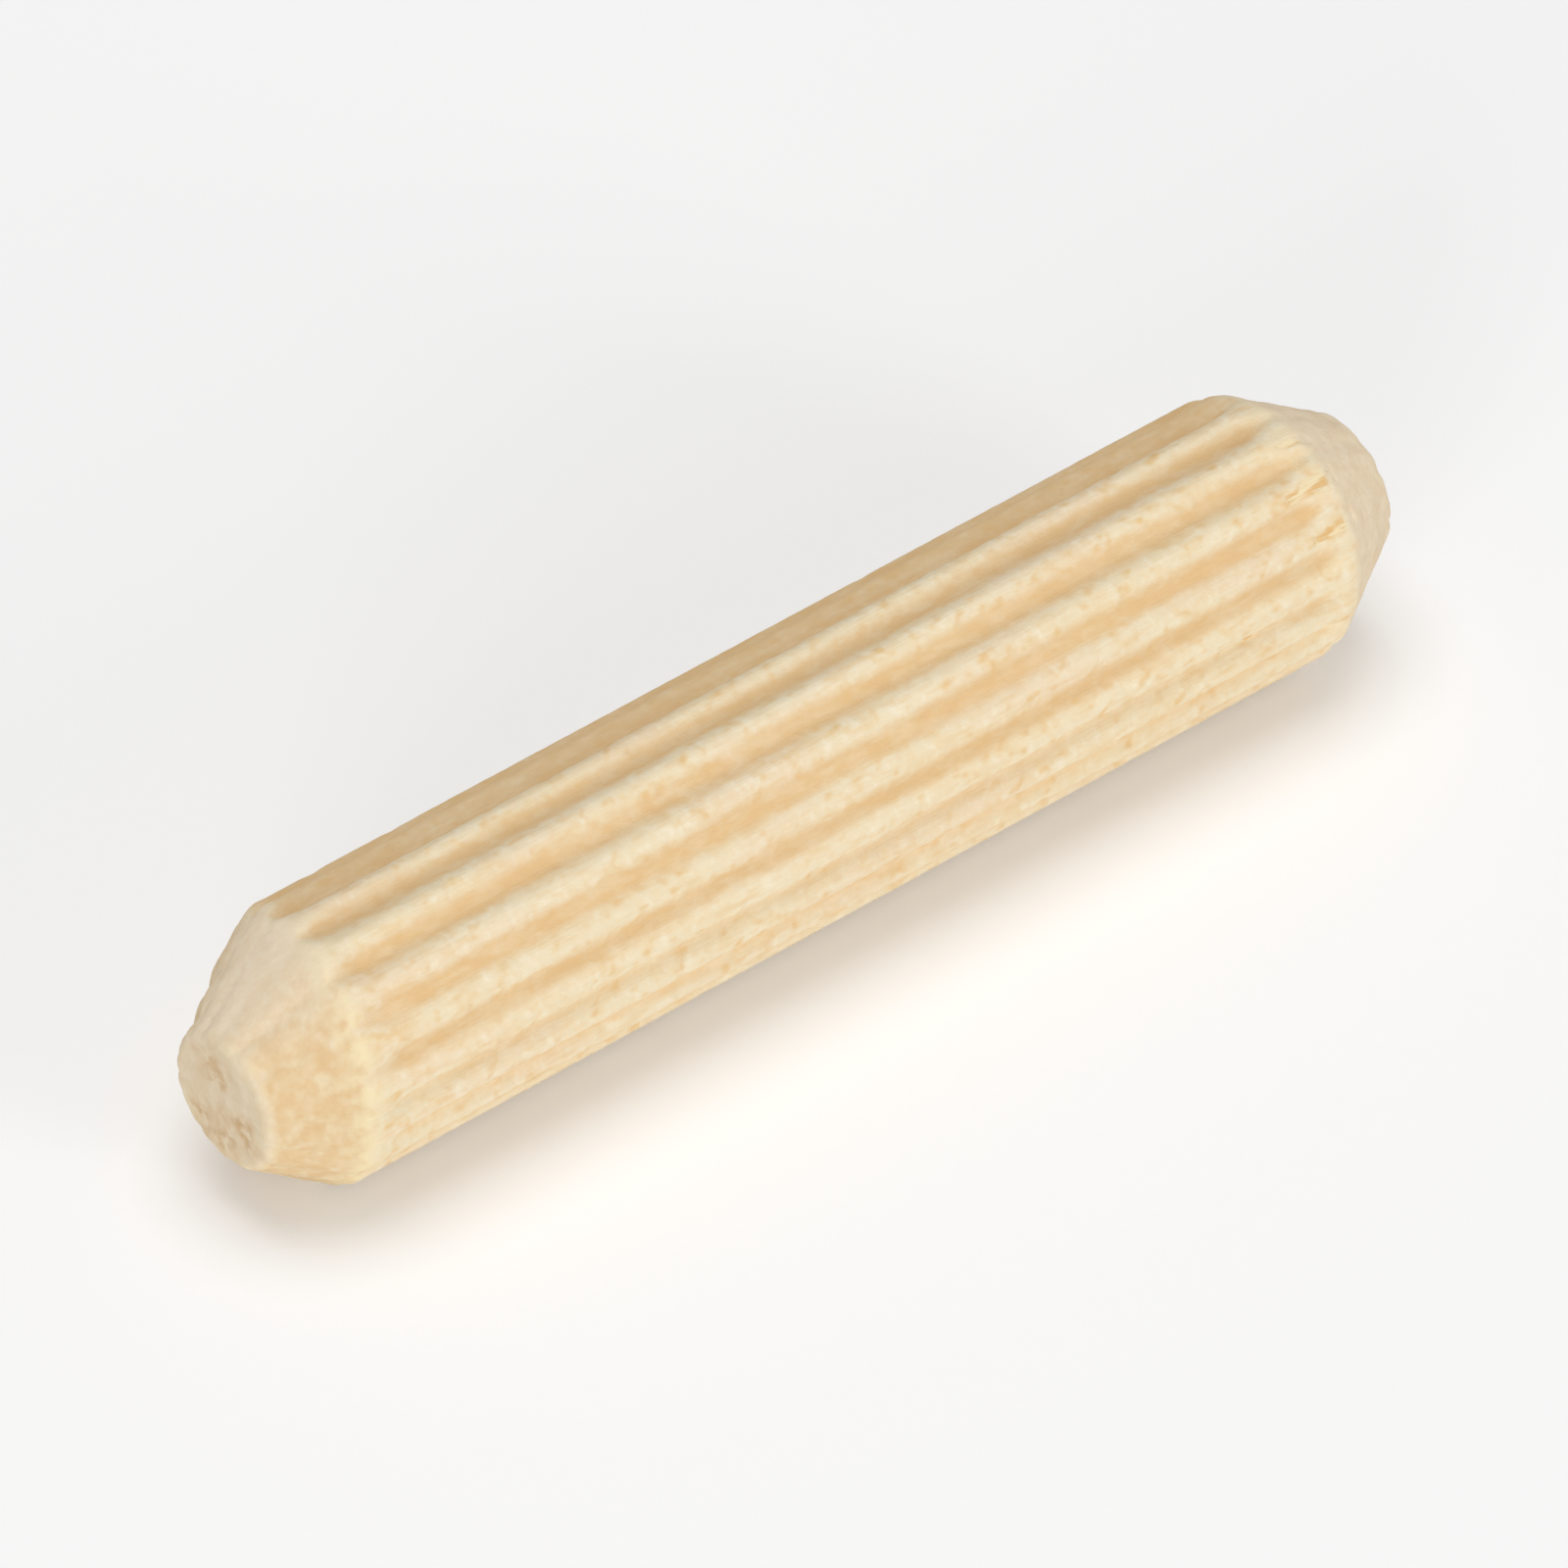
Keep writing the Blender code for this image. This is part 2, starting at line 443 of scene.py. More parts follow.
def chamfer_relief(place, turn):
    """How much wood is missing from the plain cone of the chamfer."""
    pitches = count_pitches(turn)
    flute = round(pitches)
    along_end = max(0.0, abs(place.x) - HALF_BODY) / CHAMFER_LENGTH
    scallop = SCALLOPS * flute_wave(abs(pitches - flute) * PITCH_ANGLE, SCALLOP_WIDTH)
    scallop *= 1 + SCALLOP_SPREAD * steady(flute % FLUTE_COUNT, SCALLOP_KIND)
    scallop *= 1 + (SCALLOPS_AT_FACE - 1) * along_end
    deeper = NEAR_DEEPER_CUT * along_end if place.x < 0 else 0.0
    lumps = CUT_LUMPS * grain_share(place, CUT_LUMP_SIZE, CUT_LUMP_SIZE, seed=60.3)
    crumbs = CUT_CRUMBS * grain_share(place, CUT_CRUMB_SIZE, CUT_CRUMB_SIZE, seed=71.9)
    return scallop + hop_relief(place, turn, along_end) + deeper + lumps + crumbs


print(f"lumps and crumbs take at most {(CUT_LUMPS + CUT_CRUMBS) / MM:.2f} mm off the cut wood")

# %% [markdown]
# ### The end faces
#
# The end faces are sawn, with brown patches where the end grain is sunken. Each patch is a round spot
# that noise makes ragged, given by its place across the face and its size. The ones of the near face
# roughly follow the darker spots that the photograph shows there; the far face is out of sight.

# %% Relief of the end faces
SAW_ROUGHNESS = 0.04 * MM
SAW_GRAIN_SIZE = 0.36 * MM
PATCH_DEPTH = 0.03 * MM
PATCH_RAGGEDNESS = 0.45
PATCH_GRAIN_SIZE = 0.45 * MM
PATCH_END = 1.1
Patch = namedtuple("Patch", "down_mm to_camera_mm size_mm")
NEAR_PATCHES = [
    Patch(down_mm=-0.94, to_camera_mm=0.54, size_mm=1.1),
    Patch(down_mm=0.1, to_camera_mm=-1.3, size_mm=1.1),
    Patch(down_mm=0.8, to_camera_mm=-0.9, size_mm=1.2),
    Patch(down_mm=1.1, to_camera_mm=0.3, size_mm=1.0),
]
FAR_PATCHES = [
    Patch(down_mm=0.9, to_camera_mm=-0.2, size_mm=1.2),
    Patch(down_mm=0.2, to_camera_mm=-1.2, size_mm=1.0),
    Patch(down_mm=-0.9, to_camera_mm=0.9, size_mm=0.8),
]


def patch_share(place):
    """1 in the middle of a sunken patch in an end face, 0 away from all of them."""
    deepest = 0.0
    for patch in NEAR_PATCHES if place.x < 0 else FAR_PATCHES:
        across_face = down_in_view * patch.down_mm + up_to_camera * patch.to_camera_mm
        middle = slide_of(place.x) + across_face * MM
        off = Vector((0, place.y - middle.y, place.z - middle.z)).length / (patch.size_mm * MM)
        ragged = off + PATCH_RAGGEDNESS * grain(place, PATCH_GRAIN_SIZE, PATCH_GRAIN_SIZE, seed=8.8)
        deepest = max(deepest, 1 - smooth_step(0.0, PATCH_END, ragged))
    return deepest


def face_relief(place):
    """How much wood is missing from the flat of an end face."""
    sawn = grain_share(place, SAW_GRAIN_SIZE, SAW_GRAIN_SIZE, seed=33.1)
    return SAW_ROUGHNESS * sawn + PATCH_DEPTH * patch_share(place)


print("patches in the near and the far face:", len(NEAR_PATCHES), len(FAR_PATCHES))

# %% [markdown]
# ## Torn fibres
#
# At the far end the cutter caught the lower flank of three ridges and tore slivers open, which show
# as small orange forks. A single scratch lies further in. Each tear is a wedge on the surface: it
# starts at a tip, given along the pin and round it, and opens towards the rim. The slivers inside
# the wedge are drawn by the finish.

# %% Wedges of torn wood
TEAR_DEPTH = 0.05 * MM
TIP_SHARE = 0.3
TEAR_CORE = 0.5
Tear = namedtuple("Tear", "tip_mm tip_turn length_mm slant spread_mm")
TEARS = [
    Tear(tip_mm=16.7, tip_turn=-163.5, length_mm=1.1, slant=1.0, spread_mm=0.26),
    Tear(tip_mm=15.9, tip_turn=-142.0, length_mm=1.9, slant=-2.0, spread_mm=0.44),
    Tear(tip_mm=16.2, tip_turn=-122.0, length_mm=1.6, slant=-2.0, spread_mm=0.42),
    Tear(tip_mm=12.5, tip_turn=-95.5, length_mm=1.2, slant=1.2, spread_mm=0.17),
]
first_tear = min(tear.tip_mm for tear in TEARS) * MM


def tear_share(place, turn):
    """1 on the middle line of a tear, 0 away from all of them."""
    if place.x < first_tear:
        return 0.0
    strongest = 0.0
    for tear in TEARS:
        along = (place.x / MM - tear.tip_mm) / tear.length_mm
        if 0.0 < along < 1.0:
            middle = math.radians(tear.tip_turn + tear.slant * along)
            across = abs(turn - middle) * CREST_RADIUS / MM
            spread = tear.spread_mm * (TIP_SHARE + (1 - TIP_SHARE) * along)
            strongest = max(strongest, 1 - smooth_step(TEAR_CORE, 1.0, across / spread))
    return strongest


print(f"{len(TEARS)} tears, the first at {first_tear / MM:.1f} mm from the middle of the pin")

# %% [markdown]
# ## Pressed wood, painted shade and painted light
#
# The rollers press the flutes browner than the ridges, and the same brown is also painted shade in the
# flutes' hollows. The photograph shows it strong on the pin's upper and far side, where the ridges are
# painted brown too as painted shade, and faint on the side that faces the front, where it is left
# pale as painted light. So the tone of the wood turns with the side as well as with the depth. The cut
# wood is painted as well: the top of the near chamfer greyer as painted shade, and the far one paler
# and grey all round as painted light.

# %% Painted tone of the wood round the pin
# Flutes facing the front are painted less brown as painted light; ridges on the upper, far side are
# painted brown as painted shade.
PAINTED_LIGHT_SIDE = math.radians(-85)
PAINTED_LIGHT_REACH = math.radians(40)
PAINTED_LIGHT_LOSS = 0.45
PAINTED_SHADE_SIDE = math.radians(140)
PAINTED_SHADE_REACH = math.radians(45)
PAINTED_SHADE_RIDGES = 0.95
# Cut wood painted grey: painted shade on the top of the near chamfer, painted light on the far end.
PAINTED_SHADE_GREY_SIDE = math.radians(165)
PAINTED_SHADE_GREY_REACH = math.radians(75)
PAINTED_LIGHT_AT_FAR_END = 0.8


def pressed_and_shaded_tone(turn, flute_share):
    """How brown the wood is: pressing and painted shade, on upper ridges too, and painted light on the
    front.
    """
    in_flute = flute_share * (1 - PAINTED_LIGHT_LOSS * side_share(turn, PAINTED_LIGHT_SIDE, PAINTED_LIGHT_REACH))
    on_ridge = PAINTED_SHADE_RIDGES * side_share(turn, PAINTED_SHADE_SIDE, PAINTED_SHADE_REACH)
    return max(in_flute, on_ridge)


def shade_and_light_grey_tone(place, turn):
    """How grey the cut wood is painted: painted shade atop the near chamfer, painted light at the far
    end.
    """
    return PAINTED_LIGHT_AT_FAR_END if place.x > 0 else side_share(turn, PAINTED_SHADE_GREY_SIDE, PAINTED_SHADE_GREY_REACH)


print(f"tone of a flute on the pale side: {pressed_and_shaded_tone(PAINTED_LIGHT_SIDE, 1.0):.2f}")

# %% [markdown]
# ## Roll, cut and roughen
#
# One pass over the blank gives every point its place. Where the rolled surface and the chamfer meet,
# the lower one wins, with the corner between them worn round. The ridges that it lies on, and those
# straight above, are rubbed down to the solid's own height. The pass also notes, on each point, what
# the finish needs there: how brown it is, from pressing and from painted shade and light, whether it
# is cut or rolled, how grey it is painted as shade and light, sawn end grain, a fuzzy rim, or torn.

# %% Notes on the points, and the worn corner
WORN_EDGE = 0.16 * MM
# The first note carries pressing together with painted shade and light; the grey note is painted shade
# and light.
pressed_and_shaded_layer = blank.verts.layers.float.new("pressed_and_shaded_wood")
cut_layer = blank.verts.layers.float.new("cut_wood")
shade_and_light_grey_layer = blank.verts.layers.float.new("shade_and_light_grey")
rim_layer = blank.verts.layers.float.new("fuzzy_rim")
face_layer = blank.verts.layers.float.new("end_grain")
patch_layer = blank.verts.layers.float.new("brown_patch")
torn_layer = blank.verts.layers.float.new("torn_wood")


def soft_minimum(first, second, width):
    """The smaller of two heights, with the corner between them worn round over a width."""
    overlap = max(0.0, width - abs(first - second)) / width
    return min(first, second) - overlap * overlap * width / 4


print("notes on each point:", blank.verts.layers.float.keys())

# %% [markdown]
# ### The pass itself
#
# Moving the points one by one keeps every rule in plain sight, where a stack of Displace modifiers
# would need a texture for each. Near the middle of an end face the sideways part fades out, so that
# the small faces round the axis don't fold.

# %% Give every point its place
NEAR_RIM_WIDTH = 0.45 * MM
FAR_RIM_WIDTH = 0.24 * MM
BURR = 0.01 * MM
MIDDLE_FADE = 3
FACE_RING = 0.35
FACE_RING_START = 0.60
FACE_RING_FULL = 0.92
FACE_EDGE_SHARE = 0.3
FACE_EDGE = HALF_LENGTH - END_EDGE_RADIUS * FACE_EDGE_SHARE

for vert in blank.verts:
    place = vert.co.copy()
    radius = math.hypot(place.y, place.z)
    if radius > WELD_DISTANCE:
        turn = math.atan2(place.y, -place.z)
        rolled, flute_share = rolled_surface(place, turn)
        rolled -= ridge_relief(place, flute_share)
        torn = tear_share(place, turn)
        chamfered = chamfer_cone(place) - chamfer_relief(place, turn)
        proud = rolled - chamfered
        rim_width = NEAR_RIM_WIDTH if place.x < 0 else FAR_RIM_WIDTH
        near_rim = max(0.0, 1 - abs(proud) / rim_width)
        shaped = soft_minimum(rolled, chamfered, WORN_EDGE) + BURR * near_rim - TEAR_DEPTH * torn
        rubbed = high.z * radius / max(abs(place.z), WELD_DISTANCE)
        shaped = min(shaped, CREST_RADIUS, rubbed)
        off_middle = min(1.0, radius / RIM_RADIUS) ** MIDDLE_FADE
        shaped = radius + (shaped - radius) * off_middle
        vert.co.y *= shaped / radius
        vert.co.z *= shaped / radius
        vert[pressed_and_shaded_layer] = pressed_and_shaded_tone(turn, flute_share)
        vert[cut_layer] = smooth_step(-0.5, 0.5, proud / WORN_EDGE)
        vert[shade_and_light_grey_layer] = shade_and_light_grey_tone(place, turn)
        vert[rim_layer] = near_rim
        vert[torn_layer] = torn
    on_face = smooth_step(HALF_LENGTH - END_EDGE_RADIUS, FACE_EDGE, abs(place.x))
    vert[face_layer] = on_face
    if on_face > 0:
        off_centre = (Vector((0, place.y, place.z)) - slide_of(place.x)).length / RIM_RADIUS
        ring = FACE_RING * smooth_step(FACE_RING_START, FACE_RING_FULL, off_centre)
        vert.co.x -= math.copysign(face_relief(place) * on_face, place.x)
        vert[patch_layer] = patch_share(place) * on_face
        vert[rim_layer] = max(vert[rim_layer], ring)
        vert[cut_layer] = 1.0

widest = max(math.hypot(vert.co.y, vert.co.z) for vert in blank.verts)
print(f"widest ring after shaping: {widest / MM:.3f} mm from the axis")

# %% [markdown]
# ### One piece of wood
#
# The real pin is one piece, so one mesh stands for it, shaded smooth because its small faces are
# finer than its marks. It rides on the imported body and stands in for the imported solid.

# %% Finished mesh
pin_mesh = bpy.data.meshes.new("dowel_pin_wood")
blank.to_mesh(pin_mesh)
blank.free()
pin_mesh.shade_smooth()
pin = bpy.data.objects.new("dowel_pin_wood", pin_mesh)
bpy.context.scene.collection.objects.link(pin)
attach(pin, "root")
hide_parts("dowel_pin")
print("points in the finished mesh:", len(pin_mesh.vertices))

# %% [markdown]
# ## Patterns for the wood
#
# Beech is a pale wood with three kinds of mark: long soft streaks, short dark flecks where the rays
# cross the surface, and fine pores. All of them are noise drawn out along the fibres, so two node
# groups make every one: one for patterns that go smoothly up and down, one for separate marks.

# %% Helpers for colours and nodes
SCREEN_WHITE = 255
SRGB_DARK_END = 0.04045
SRGB_DARK_SLOPE = 12.92
SRGB_OFFSET = 0.055
SRGB_POWER = 2.4


def to_linear(share):
    """A screen value from 0 to 1 as the amount of light that it stands for."""
    if share <= SRGB_DARK_END:
        return share / SRGB_DARK_SLOPE
    return ((share + SRGB_OFFSET) / (1 + SRGB_OFFSET)) ** SRGB_POWER


def paint(red, green, blue):
    """A colour as it looks on a screen, 0 to 255, in Blender's own linear numbers."""
    channels = [to_linear(value / SCREEN_WHITE) for value in (red, green, blue)]
    return (*channels, 1.0)


def new_group(name, inputs, output):
    """An empty shader group with a Position, number inputs and one number output."""
    group = bpy.data.node_groups.new(name, "ShaderNodeTree")
    group.interface.new_socket("Position", in_out="INPUT", socket_type="NodeSocketVector")
    for label, value in inputs.items():
        socket = group.interface.new_socket(label, in_out="INPUT", socket_type="NodeSocketFloat")
        socket.default_value = value
    group.interface.new_socket(output, in_out="OUTPUT", socket_type="NodeSocketFloat")
    group_input = group.nodes.new("NodeGroupInput")
    group_output = group.nodes.new("NodeGroupOutput")
    return group, group_input, group_output


def feed(tree, socket, value):
    """Link a socket to a value that is a socket too, or else write the value into it."""
    if isinstance(value, bpy.types.NodeSocket):
        tree.links.new(value, socket)
    else:
        socket.default_value = value


def calculate(tree, operation, first, second):
    """A Math node on two sockets or numbers. Returns its output socket."""
    node = tree.nodes.new("ShaderNodeMath")
    node.operation = operation
    feed(tree, node.inputs[0], first)
    feed(tree, node.inputs[1], second)
    return node.outputs["Value"]


def drawn_out(tree, group_input):
    """The group's Position, divided by Length along the fibres and by Width across them."""
    along = calculate(tree, "DIVIDE", 1.0, group_input.outputs["Length"])
    across = calculate(tree, "DIVIDE", 1.0, group_input.outputs["Width"])
    scale = tree.nodes.new("ShaderNodeCombineXYZ")
    tree.links.new(along, scale.inputs["X"])
    tree.links.new(across, scale.inputs["Y"])
    tree.links.new(across, scale.inputs["Z"])
    product = tree.nodes.new("ShaderNodeVectorMath")
    product.operation = "MULTIPLY"
    tree.links.new(group_input.outputs["Position"], product.inputs[0])
    tree.links.new(scale.outputs["Vector"], product.inputs[1])
    return product.outputs["Vector"]


print(f"half of screen white as light: {to_linear(0.5):.3f}")

# %% [markdown]
# ### Smooth patterns
#
# Streaks, blotches and the fine threads of the wood go up and down without an edge. Plain noise does
# that, with two finer layers on it so that it doesn't look like cloud. A fourth coordinate, the seed,
# gives each use of the group its own pattern.

# %% Group for smooth patterns
fibres, fibres_in, fibres_out = new_group("fibres", {"Length": 1.0, "Width": 0.1, "Seed": 0.0}, "Value")
fibre_noise = fibres.nodes.new("ShaderNodeTexNoise")
fibre_noise.noise_dimensions = "4D"
fibre_noise.inputs["Scale"].default_value = 1.0
fibre_noise.inputs["Detail"].default_value = 2.0
fibre_noise.inputs["Roughness"].default_value = 0.55
fibres.links.new(drawn_out(fibres, fibres_in), fibre_noise.inputs["Vector"])
fibres.links.new(fibres_in.outputs["Seed"], fibre_noise.inputs["W"])
fibres.links.new(fibre_noise.outputs["Fac"], fibres_out.inputs["Value"])
print("group made:", fibres.name)

# %% [markdown]
# ### Separate marks
#
# Flecks, specks and pores lie apart from each other. The same noise with only its highest parts kept
# gives them: below Start nothing shows, and from Full on the mark has its whole strength.

# %% Group for separate marks
marks, marks_in, marks_out = new_group(
    "marks", {"Length": 0.5, "Width": 0.2, "Seed": 0.0, "Start": 0.55, "Full": 0.7}, "Mask")
mark_noise = marks.nodes.new("ShaderNodeTexNoise")
mark_noise.noise_dimensions = "4D"
mark_noise.inputs["Scale"].default_value = 1.0
mark_noise.inputs["Detail"].default_value = 1.0
marks.links.new(drawn_out(marks, marks_in), mark_noise.inputs["Vector"])
marks.links.new(marks_in.outputs["Seed"], mark_noise.inputs["W"])
mark_step = marks.nodes.new("ShaderNodeMapRange")
mark_step.interpolation_type = "SMOOTHSTEP"
marks.links.new(mark_noise.outputs["Fac"], mark_step.inputs["Value"])
marks.links.new(marks_in.outputs["Start"], mark_step.inputs["From Min"])
marks.links.new(marks_in.outputs["Full"], mark_step.inputs["From Max"])
marks.links.new(mark_step.outputs["Result"], marks_out.inputs["Mask"])
print("group made:", marks.name)

# %% [markdown]
# ## The wood's material
#
# One material covers the pin, because it is one piece of wood, and the notes on its points say where
# each finish belongs. The patterns are worked out in millimetres, from Object coordinates, so they
# run through the wood as real grain does.

# %% Material and its inputs
wood = bpy.data.materials.new("dry_beech")
wood.use_nodes = True
nodes = wood.node_tree.nodes
links = wood.node_tree.links
surface = nodes["Principled BSDF"]

coordinates = nodes.new("ShaderNodeTexCoord")
in_mm = nodes.new("ShaderNodeVectorMath")
in_mm.operation = "SCALE"
in_mm.inputs["Scale"].default_value = 1 / MM
links.new(coordinates.outputs["Object"], in_mm.inputs[0])

# A Mix node has its own sockets for each kind of value: below, above and the result
MIX_SOCKETS = {"FLOAT": (2, 3, 0), "RGBA": (6, 7, 2)}


def note(name):
    """The socket that reads one of the notes on the pin's points."""
    node = nodes.new("ShaderNodeAttribute")
    node.attribute_name = name
    return node.outputs["Fac"]


def pattern(group, **values):
    """One use of a pattern group, with its own values. Returns its output socket."""
    node = nodes.new("ShaderNodeGroup")
    node.node_tree = group
    links.new(in_mm.outputs["Vector"], node.inputs["Position"])
    for label, value in values.items():
        node.inputs[label].default_value = value
    return node.outputs[0]


def blend(mask, below, above, kind="RGBA"):
    """Two colours or numbers mixed by a mask: below where it is 0, above where it is 1."""
    node = nodes.new("ShaderNodeMix")
    node.data_type = kind
    below_socket, above_socket, result_socket = MIX_SOCKETS[kind]
    links.new(mask, node.inputs[0])
    feed(wood.node_tree, node.inputs[below_socket], below)
    feed(wood.node_tree, node.inputs[above_socket], above)
    return node.outputs[result_socket]


def product_of(first, second):
    """Two masks or numbers multiplied."""
    return calculate(wood.node_tree, "MULTIPLY", first, second)


def laid_over(below, above, mask, strength):
    """A colour laid over another one through a mask, at part of its strength."""
    return blend(product_of(mask, strength), below, above)


def step_of(value, start, full):
    """A soft step of a socket, from 0 at start to 1 at full."""
    node = nodes.new("ShaderNodeMapRange")
    node.interpolation_type = "SMOOTHSTEP"
    links.new(value, node.inputs["Value"])
    node.inputs["From Min"].default_value = start
    node.inputs["From Max"].default_value = full
    return node.outputs["Result"]


is_pressed_and_shaded = note("pressed_and_shaded_wood")
is_cut = note("cut_wood")
is_shade_and_light_grey = note("shade_and_light_grey")
is_rim = note("fuzzy_rim")
is_face = note("end_grain")
is_patch = note("brown_patch")
is_torn = note("torn_wood")
print("material made:", wood.name)

# %% [markdown]
# ### The rolled wood
#
# The ridges are cream with golden flecks, a few rosy stretches and pale threads, and the flutes are
# an even brown, which is pressed wood and painted shade at once, painted on the upper ridges too and
# kept paler on the front as painted light. Each mark is laid over the ones before it at its own
# strength, from the broad and faint to the small and strong, as layers of paint would be.

# %% Colour of the rolled wood
CREAM = paint(242, 228, 197)
WARM = paint(239, 214, 170)
PALE = paint(248, 238, 214)
GOLDEN = paint(233, 192, 127)
ROSY = paint(239, 210, 175)
PRESSED_AND_SHADED_BROWN = paint(231, 195, 143)
LEAST_BROWN = 0.58

streaks = step_of(pattern(fibres, Length=9.0, Width=0.7, Seed=2.0), start=0.35, full=0.68)
cells = step_of(pattern(fibres, Length=0.30, Width=0.44, Seed=5.0), start=0.34, full=0.68)
threads = step_of(pattern(fibres, Length=2.6, Width=0.12, Seed=9.0), start=0.36, full=0.72)
specks = pattern(marks, Length=0.30, Width=0.38, Seed=13.0, Start=0.48, Full=0.80)
flecks = pattern(marks, Length=0.50, Width=0.38, Seed=21.0, Start=0.50, Full=0.86)
long_flecks = pattern(marks, Length=1.1, Width=0.34, Seed=27.0, Start=0.48, Full=0.84)
pores = pattern(marks, Length=0.70, Width=0.08, Seed=34.0, Start=0.58, Full=0.84)
rosy_patches = pattern(marks, Length=5.0, Width=1.6, Seed=3.0, Start=0.48, Full=0.66)
bruises = step_of(pattern(fibres, Length=0.9, Width=0.36, Seed=17.0), start=0.30, full=0.66)

rolled_colour = laid_over(CREAM, WARM, streaks, strength=0.4)
rolled_colour = laid_over(rolled_colour, WARM, cells, strength=0.5)
rolled_colour = laid_over(rolled_colour, ROSY, rosy_patches, strength=0.4)
rolled_colour = laid_over(rolled_colour, PALE, threads, strength=0.25)
rolled_colour = laid_over(rolled_colour, PALE, specks, strength=0.6)
rolled_colour = laid_over(rolled_colour, GOLDEN, pores, strength=0.3)
rolled_colour = laid_over(rolled_colour, GOLDEN, long_flecks, strength=0.5)
rolled_colour = laid_over(rolled_colour, GOLDEN, flecks, strength=0.85)
# Pressing and painted shade turn the flutes and the upper ridges brown, less on the front as painted
# light.
how_brown = calculate(wood.node_tree, "ADD", product_of(bruises, 1 - LEAST_BROWN), LEAST_BROWN)
how_brown = product_of(how_brown, step_of(is_pressed_and_shaded, start=0.15, full=0.95))
rolled_colour = blend(how_brown, rolled_colour, PRESSED_AND_SHADED_BROWN)
print("nodes after the rolled wood:", len(nodes))

# %% [markdown]
# ### The torn slivers
#
# Inside a tear the wood shows as thin orange lines with pale fibres between them, all running along
# the pin. They are too fine for the mesh, so a pattern draws them inside each wedge.

# %% Colour of the torn wood
TORN_COLOUR = paint(229, 181, 112)
TORN_PALE = paint(245, 226, 184)
slivers = step_of(pattern(fibres, Length=0.8, Width=0.15, Seed=90.0), start=0.42, full=0.58)
torn_colour = blend(slivers, TORN_PALE, TORN_COLOUR)
rolled_colour = laid_over(rolled_colour, torn_colour, is_torn, strength=0.85)
print("nodes after the torn wood:", len(nodes))

# %% [markdown]
# ### The cut wood
#
# The near chamfer is warm and blotchy, with its top painted grey as painted shade, and the far one
# is painted paler and a little grey as painted light. Each end face has brown patches inside a pale
# rim.

# %% Colour of the cut wood
CUT = paint(235, 210, 168)
CUT_DARK = paint(226, 189, 137)
# The grey colours are painted shade on the near chamfer's top and painted light on the far end.
SHADE_AND_LIGHT_GREY_CUT = paint(246, 229, 203)
SHADE_AND_LIGHT_GREY_DARK = paint(236, 213, 180)
CUT_PALE = paint(243, 228, 198)
SAWN = paint(235, 214, 182)
SAWN_PALE = paint(245, 229, 202)
PATCH_COLOUR = paint(216, 182, 138)
RIM_COLOUR = paint(245, 228, 186)
SHADE_AND_LIGHT_GREY_RIM = paint(245, 229, 198)

cut_blotches = step_of(pattern(fibres, Length=0.85, Width=0.62, Seed=41.0), start=0.36, full=0.68)
cut_grain = step_of(pattern(fibres, Length=0.34, Width=0.28, Seed=46.0), start=0.34, full=0.72)
cut_specks = pattern(marks, Length=0.42, Width=0.38, Seed=52.0, Start=0.42, Full=0.86)
# Painted shade and light turn the cut wood and its rim grey.
light_cut = blend(is_shade_and_light_grey, CUT, SHADE_AND_LIGHT_GREY_CUT)
dark_cut = blend(is_shade_and_light_grey, CUT_DARK, SHADE_AND_LIGHT_GREY_DARK)
cut_colour = laid_over(light_cut, dark_cut, cut_blotches, strength=0.6)
cut_colour = laid_over(cut_colour, dark_cut, cut_grain, strength=0.5)
cut_colour = laid_over(cut_colour, CUT_PALE, cut_specks, strength=0.7)

sawn_grain = step_of(pattern(fibres, Length=0.42, Width=0.38, Seed=61.0), start=0.36, full=0.70)
sawn_colour = laid_over(SAWN, SAWN_PALE, sawn_grain, strength=0.6)
patch_fibres = step_of(pattern(fibres, Length=0.46, Width=0.40, Seed=66.0), start=0.32, full=0.62)
sawn_colour = blend(product_of(is_patch, patch_fibres), sawn_colour, PATCH_COLOUR)

rim_colour = blend(is_shade_and_light_grey, RIM_COLOUR, SHADE_AND_LIGHT_GREY_RIM)
rim_fuzz = step_of(pattern(fibres, Length=0.55, Width=0.40, Seed=71.0), start=0.32, full=0.62)
wood_colour = blend(is_cut, rolled_colour, cut_colour)
wood_colour = blend(is_face, wood_colour, sawn_colour)
wood_colour = laid_over(wood_colour, rim_colour, product_of(is_rim, rim_fuzz), strength=0.85)
links.new(wood_colour, surface.inputs["Base Color"])
print("nodes after the cut wood:", len(nodes))

# %% [markdown]
# ### Touch
#
# Dry wood is matt, and a little smoother where it was pressed. Hairs along the rolled wood and crumbs
# on the cut wood are finer than the mesh, so they are the one relief that is left to a bump, with the
# cells, pores and slivers of the colour sunk into it.

# %% Roughness and the finest relief
FINE_RELIEF = 0.02 * MM
CELL_SINK = 0.25
PORE_SINK = 0.2
SLIVER_SINK = 0.5
DRY_ROUGHNESS = 0.88
PRESSED_ROUGHNESS = 0.70
DRY_SPECULAR = 0.25
hairs = pattern(fibres, Length=1.4, Width=0.06, Seed=80.0)
crumbs = pattern(fibres, Length=0.20, Width=0.16, Seed=84.0)
relief = blend(is_cut, hairs, crumbs, kind="FLOAT")
relief = calculate(wood.node_tree, "SUBTRACT", relief, product_of(cells, CELL_SINK))
relief = calculate(wood.node_tree, "SUBTRACT", relief, product_of(pores, PORE_SINK))
sliver_relief = product_of(product_of(slivers, is_torn), SLIVER_SINK)
relief = calculate(wood.node_tree, "SUBTRACT", relief, sliver_relief)
bump = nodes.new("ShaderNodeBump")
bump.inputs["Strength"].default_value = 1.0
bump.inputs["Distance"].default_value = FINE_RELIEF
links.new(relief, bump.inputs["Height"])
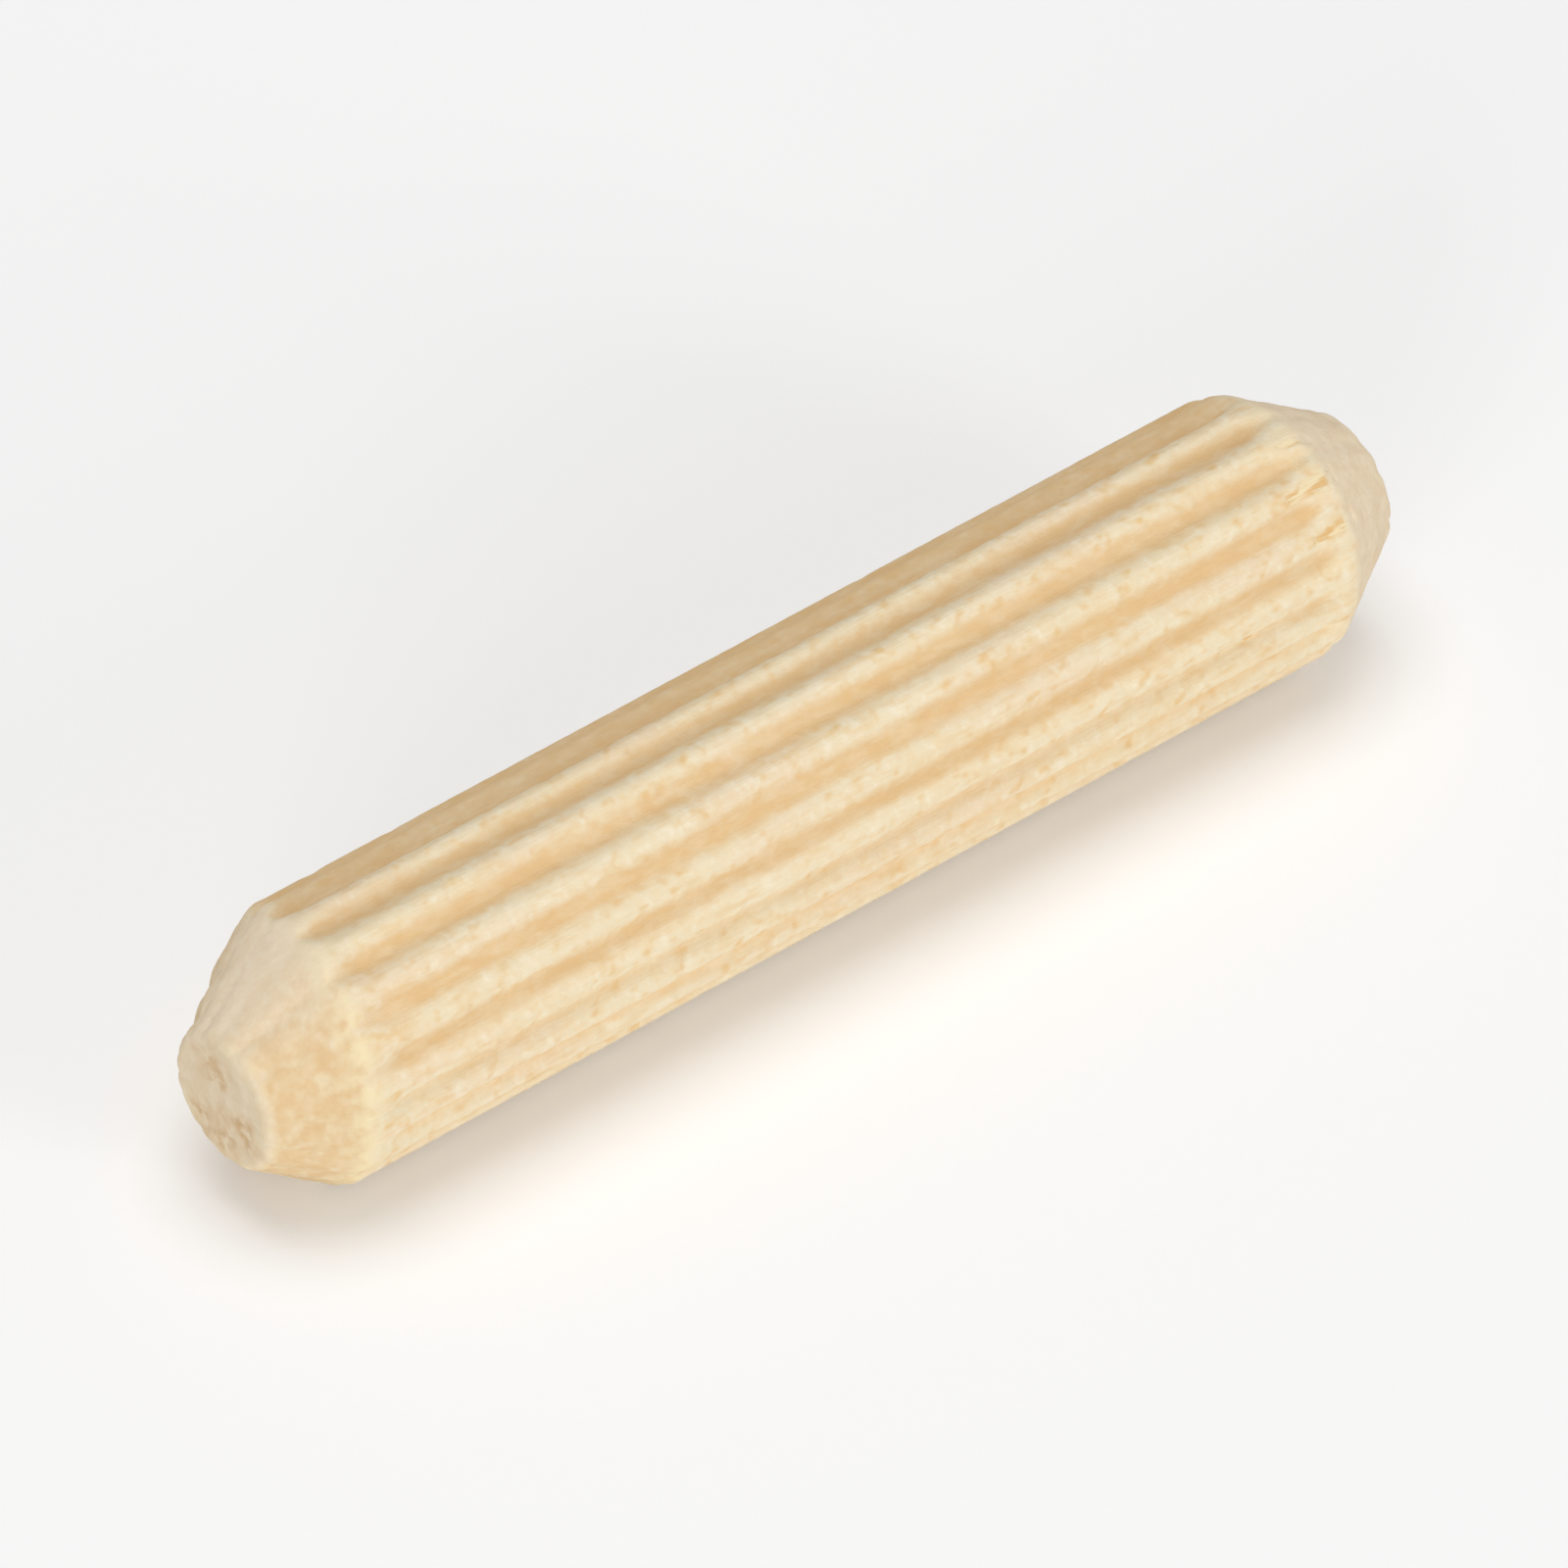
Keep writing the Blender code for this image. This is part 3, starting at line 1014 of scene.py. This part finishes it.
links.new(bump.outputs["Normal"], surface.inputs["Normal"])

roughness = nodes.new("ShaderNodeMapRange")
roughness.inputs["To Min"].default_value = DRY_ROUGHNESS
roughness.inputs["To Max"].default_value = PRESSED_ROUGHNESS
links.new(product_of(is_pressed_and_shaded, threads), roughness.inputs["Value"])
links.new(roughness.outputs["Result"], surface.inputs["Roughness"])
surface.inputs["Specular IOR Level"].default_value = DRY_SPECULAR
pin_mesh.materials.append(wood)
print("nodes in the wood:", len(nodes))

# %% [markdown]
# ## Light and floor
#
# The shading in the photograph fits studio light: a broad lamp overhead, light from low in front, and
# a white table that throws much of it back up. The same are built here. The floor is one plain sheet,
# white enough to give the pin that light from below, and it keeps the pin's soft shadow.

# %% Floor
FLOOR_SIZE = 1.2
FLOOR_WHITE = 0.93
FLOOR_GLOW = 0.16
WHITE = (1.0, 1.0, 1.0, 1.0)
floor_mesh = bpy.data.meshes.new("floor")
floor_form = bmesh.new()
bmesh.ops.create_grid(floor_form, x_segments=1, y_segments=1, size=FLOOR_SIZE / 2)
bmesh.ops.translate(floor_form, verts=floor_form.verts, vec=(0, 0, FLOOR_HEIGHT))
floor_form.to_mesh(floor_mesh)
floor_form.free()
floor = bpy.data.objects.new("floor", floor_mesh)
bpy.context.scene.collection.objects.link(floor)

floor_paint = bpy.data.materials.new("white_floor")
floor_paint.use_nodes = True
floor_nodes = floor_paint.node_tree.nodes
floor_links = floor_paint.node_tree.links
floor_surface = floor_nodes["Principled BSDF"]
floor_surface.inputs["Base Color"].default_value = (FLOOR_WHITE, FLOOR_WHITE, FLOOR_WHITE, 1.0)
floor_surface.inputs["Roughness"].default_value = 1.0
floor_surface.inputs["Specular IOR Level"].default_value = 0.0
floor_surface.inputs["Emission Color"].default_value = WHITE

# The floor is lifted to white only for rays that show it, so it throws no extra light on the pin
light_path = floor_nodes.new("ShaderNodeLightPath")
seen = calculate(floor_paint.node_tree, "MAXIMUM", light_path.outputs["Is Camera Ray"],
                 light_path.outputs["Is Glossy Ray"])
seen = calculate(floor_paint.node_tree, "MAXIMUM", seen, light_path.outputs["Is Transmission Ray"])
glow = calculate(floor_paint.node_tree, "MULTIPLY", seen, FLOOR_GLOW)
floor_links.new(glow, floor_surface.inputs["Emission Strength"])
floor_mesh.materials.append(floor_paint)
print(f"floor {FLOOR_SIZE} m wide, at {FLOOR_HEIGHT / MM:.2f} mm")

# %% [markdown]
# ### The lamps
#
# One wide lamp hangs overhead and two stand low in front, one to each side, under a white sky that
# fills the shadows. The lamps are measured by share, where a share of 1 shows a colour facing the
# lamp just as it is written, so that they are easy to weigh against each other.

# %% Lamps and sky
SKY_STRENGTH = 0.32
LAMP_DISTANCE = 0.6

world = bpy.data.worlds.new("white_sky")
bpy.context.scene.world = world
world.use_nodes = True
world.node_tree.nodes["Background"].inputs["Color"].default_value = WHITE
world.node_tree.nodes["Background"].inputs["Strength"].default_value = SKY_STRENGTH


def add_soft_lamp(name, azimuth, elevation, size, share):
    """A round lamp that faces the pin and gives it a share of plain full light."""
    data = bpy.data.lights.new(name, "AREA")
    data.shape = "DISK"
    data.size = size
    data.energy = share * (math.pi * LAMP_DISTANCE) ** 2
    lamp = bpy.data.objects.new(name, data)
    towards_lamp = view_direction(math.radians(azimuth), math.radians(elevation))
    lamp.location = towards_lamp * LAMP_DISTANCE
    lamp.rotation_mode = "QUATERNION"
    lamp.rotation_quaternion = (-towards_lamp).to_track_quat("-Z", "Y")
    bpy.context.scene.collection.objects.link(lamp)
    print(f"{name}: {data.energy:.2f} W")


add_soft_lamp("overhead_lamp", azimuth=180, elevation=85, size=0.5, share=0.45)
add_soft_lamp("front_left_lamp", azimuth=-55, elevation=12, size=0.25, share=0.29)
add_soft_lamp("front_right_lamp", azimuth=15, elevation=12, size=0.25, share=0.29)
